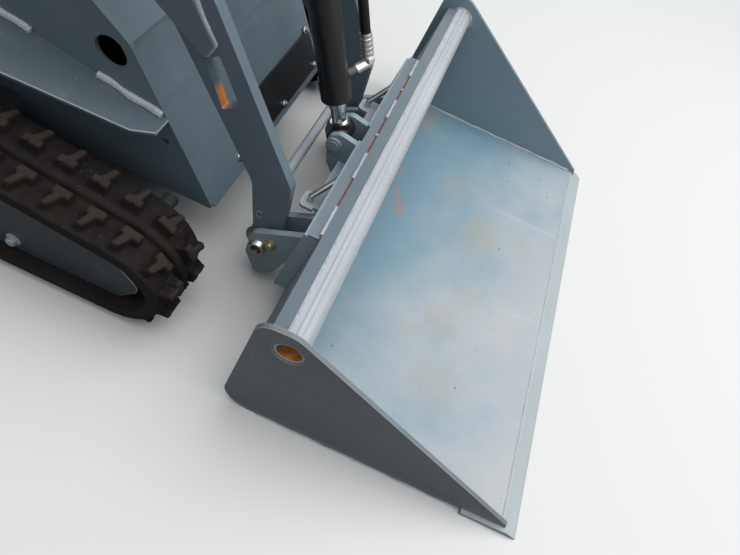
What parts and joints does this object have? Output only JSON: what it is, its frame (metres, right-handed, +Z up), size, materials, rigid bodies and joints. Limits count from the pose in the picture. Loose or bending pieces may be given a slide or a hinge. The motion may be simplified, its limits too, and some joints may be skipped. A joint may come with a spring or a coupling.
{
  "type": "compact tracked skid steer loader",
  "caption": "Stand-on tracked loader with a wide digging bucket on two bent arms, lift and tilt cylinders, sloping chassis, louvred hood and folding platform",
  "frame": {"origin": "on the ground, in the middle of the machine's length and width", "axes": "+X forward to the bucket, +Y to the operator's left, +Z up"},
  "size_m": [2.262, 1, 1.186],
  "materials": {
    "paint": "satin slate blue-grey paint",
    "worn_paint": "scuffed slate paint",
    "black_paint": "satin black paint",
    "zinc": "plated steel",
    "chrome": "ground and chromed rod",
    "casting": "dark casting",
    "black_plastic": "moulded black",
    "hose": "black hydraulic hose",
    "pad": "foam-backed black pad",
    "lamp": "clear lamp",
    "track_rubber": "dusty black rubber"
  },
  "bodies": {
    "chassis": {"chassis": "paint", "fenders": "paint", "rear_towers": "paint", "tower_pins": "zinc", "front_cover": "black_paint", "engine_block": "casting", "rear_tank": "paint", "console": "black_paint", "gauges": "black_paint", "control_levers": "black_plastic", "handrail": "black_paint", "knee_pad": "pad", "platform_brackets": "paint", "platform_pins": "zinc", "hood_hinges": "zinc", "track_left": "track_rubber", "track_right": "track_rubber", "idlers": "black_paint", "sprockets": "black_paint", "track_rollers": "black_paint", "track_frames": "paint", "side_covers": "paint"},
    "loader_arms": {"loader_arms": "paint", "arm_pins": "zinc", "tilt_barrel": "black_paint", "tilt_hose": "hose", "hose_fittings": "zinc"},
    "pivots": {"pivot_pins": "zinc"},
    "attachment": {"attach_plate": "paint", "lock_levers": "zinc", "bucket_shell": "paint", "bucket_sides": "paint", "bucket_tube": "paint", "cutting_edge": "worn_paint", "hook_strip": "paint"},
    "tilt_rod": {"tilt_rod": "chrome"},
    "tilt_rod_end": {"tilt_rod_end": "chrome"},
    "lift_barrel_left": {"lift_barrel_left": "black_paint"},
    "lift_barrel_right": {"lift_barrel_right": "black_paint"},
    "lift_rod_left": {"lift_rod_left": "chrome"},
    "lift_rod_right": {"lift_rod_right": "chrome"},
    "platform": {"operator_platform": "black_paint"},
    "hood": {"hood": "paint", "work_lamps": "lamp", "exhaust_tip": "zinc"}
  },
  "joints": [
    {"name": "arms_lift", "type": "hinge", "parent": "chassis", "child": "loader_arms", "pos_m": [-0.619, 0, 1], "axis": [0, -1, 0], "range_deg": [0, 75]},
    {"name": "bucket_level", "type": "hinge", "parent": "loader_arms", "child": "pivots", "pos_m": [0.498, 0, 0.108], "axis": [0, 1, 0], "range_deg": [-0.5, 75.5]},
    {"name": "bucket_tilt", "type": "hinge", "parent": "pivots", "child": "attachment", "pos_m": [0.498, 0, 0.108], "axis": [0, 1, 0], "range_deg": [-12, 45]},
    {"name": "tilt_rod_slide", "type": "slide", "parent": "loader_arms", "child": "tilt_rod", "axis": [0.3771, 0, -0.9262], "range_m": [-0.002, 0.1591]},
    {"name": "tilt_rod_end_slide", "type": "slide", "parent": "tilt_rod", "child": "tilt_rod_end", "axis": [0.3771, 0, -0.9262], "range_m": [-0.0271, 0.0962]},
    {"name": "platform_fold", "type": "hinge", "parent": "chassis", "child": "platform", "pos_m": [-0.759, 0, 0.196], "axis": [0, 1, 0], "range_deg": [0, 85]},
    {"name": "hood_lid", "type": "hinge", "parent": "chassis", "child": "hood", "pos_m": [-0.464, 0, 0.994], "axis": [0, -1, 0], "range_deg": [0, 50]},
    {"name": "lift_barrel_left_swing", "type": "hinge", "parent": "chassis", "child": "lift_barrel_left", "pos_m": [-0.546, 0.203, 0.612], "axis": [0, -1, 0], "range_deg": [-0.5, 54.46]},
    {"name": "lift_rod_left_slide", "type": "slide", "parent": "lift_barrel_left", "child": "lift_rod_left", "axis": [0.932, 0, 0.3624], "range_m": [-0.002, 0.4164]},
    {"name": "lift_barrel_right_swing", "type": "hinge", "parent": "chassis", "child": "lift_barrel_right", "pos_m": [-0.546, -0.203, 0.612], "axis": [0, -1, 0], "range_deg": [-0.5, 54.46]},
    {"name": "lift_rod_right_slide", "type": "slide", "parent": "lift_barrel_right", "child": "lift_rod_right", "axis": [0.932, 0, 0.3624], "range_m": [-0.002, 0.4164]}
  ],
  "couplings": [
    {"joint": "bucket_level", "follows": "arms_lift", "ratio": 1},
    {"joint": "tilt_rod_slide", "follows": "arms_lift", "m_per_rad": 0.12},
    {"joint": "tilt_rod_end_slide", "follows": "bucket_tilt", "m_per_rad": 0.12},
    {"joint": "lift_barrel_left_swing", "follows": "arms_lift", "ratio": 0.7195},
    {"joint": "lift_rod_left_slide", "follows": "arms_lift", "m_per_rad": 0.31655},
    {"joint": "lift_barrel_right_swing", "follows": "arms_lift", "ratio": 0.7195},
    {"joint": "lift_rod_right_slide", "follows": "arms_lift", "m_per_rad": 0.31655}
  ]
}
